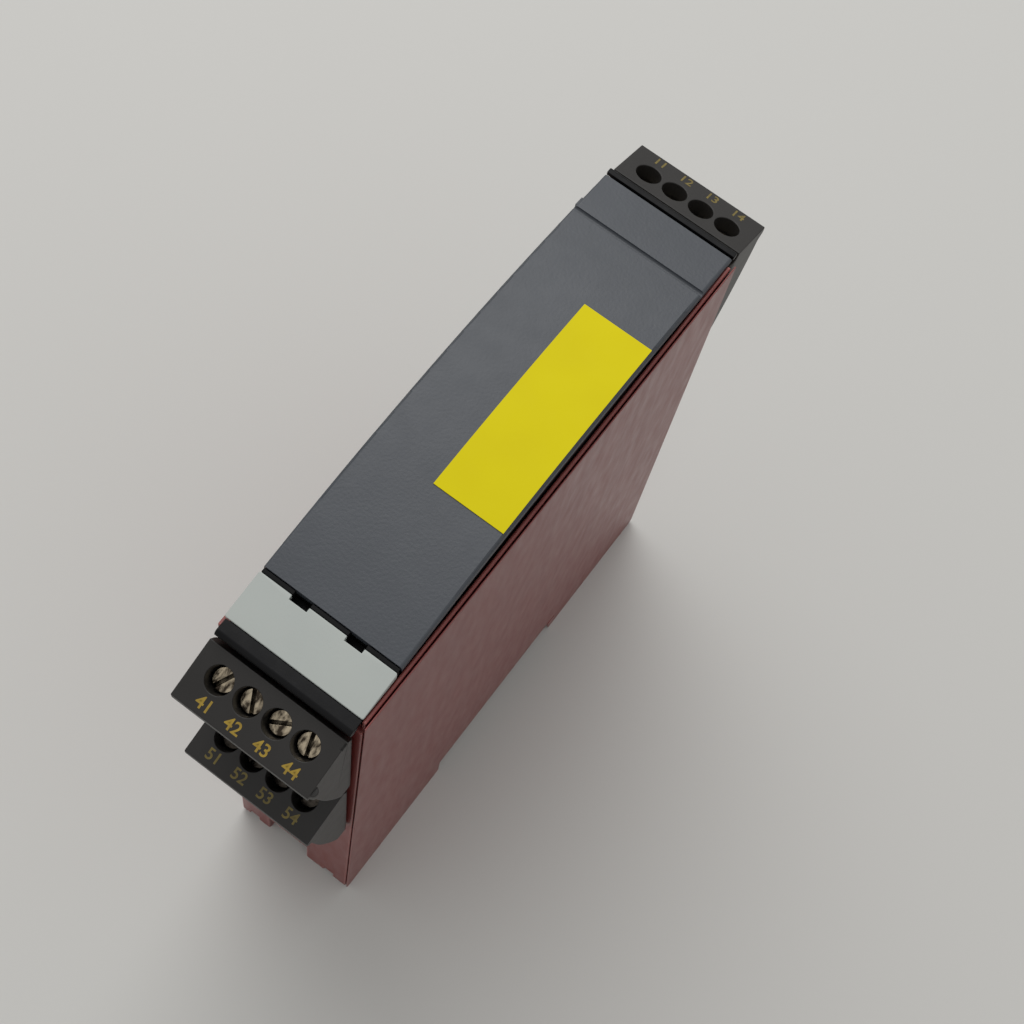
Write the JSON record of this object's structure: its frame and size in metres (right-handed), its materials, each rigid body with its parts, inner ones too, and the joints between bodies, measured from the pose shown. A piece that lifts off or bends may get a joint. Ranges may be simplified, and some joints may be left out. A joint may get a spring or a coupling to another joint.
{
  "type": "signal isolator",
  "caption": "Slim DIN-rail signal isolator with a red two-piece housing, crowned slate front cover, yellow label and plug-in screw terminal blocks at both ends",
  "frame": {"origin": "centre of the foot on the mounting face, at the bottom of the outer box", "axes": "X along the mounting rail, +X to the side cover; Y along the housing, -Y to the end with the tag plate; Z from the mounting face to the crowned front"},
  "size_m": [0.0234, 0.1054, 0.1076],
  "materials": {
    "red_plastic": "fine moulded grain",
    "black_plastic": "satin moulded",
    "slate_plastic": "fine moulded grain",
    "grey_plastic": "satin",
    "yellow_label": "coated adhesive film",
    "nickel_steel": "nickel plated",
    "brass": "tinned or bare",
    "board_laminate": "solder mask",
    "ferrite": "ground",
    "copper_wire": "enamelled",
    "capacitor_can": "sleeve",
    "capacitor_film": "dipped",
    "chip_plastic": "moulded",
    "resistor_body": "lacquered",
    "spring_steel": "bright"
  },
  "bodies": {
    "housing": {"housing_shell": "red_plastic", "side_cover": "red_plastic", "front_frame": "black_plastic", "front_cover": "slate_plastic", "tag_plate": "grey_plastic", "front_label": "yellow_label", "block_near_upper": "black_plastic", "block_near_lower": "black_plastic", "block_far": "black_plastic", "screws_near_upper": "nickel_steel", "screws_near_lower": "nickel_steel", "screws_far": "nickel_steel", "clamps_near_upper": "brass", "clamps_near_lower": "brass", "clamps_far": "brass", "contacts_near_upper": "brass", "contacts_near_lower": "brass", "contacts_far": "brass", "header_near_upper": "black_plastic", "header_near_lower": "black_plastic", "header_far": "black_plastic", "pins_near_upper": "brass", "pins_near_lower": "brass", "pins_far": "brass", "circuit_board": "board_laminate", "board_screws": "nickel_steel", "transformer_core": "ferrite", "transformer_coil": "copper_wire", "electrolytic_capacitors": "capacitor_can", "film_capacitors": "capacitor_film", "amplifier_chips": "chip_plastic", "resistors": "resistor_body", "lock_spring": "spring_steel"},
    "lock": {"rail_lock": "black_plastic"}
  },
  "joints": [
    {"name": "rail_lock_slide", "type": "slide", "parent": "housing", "child": "lock", "axis": [0, -1, 0], "range_m": [0, 0.0026], "stiffness_N_per_m": 400, "springref_m": -0.002, "deforming": ["lock_spring"]}
  ]
}
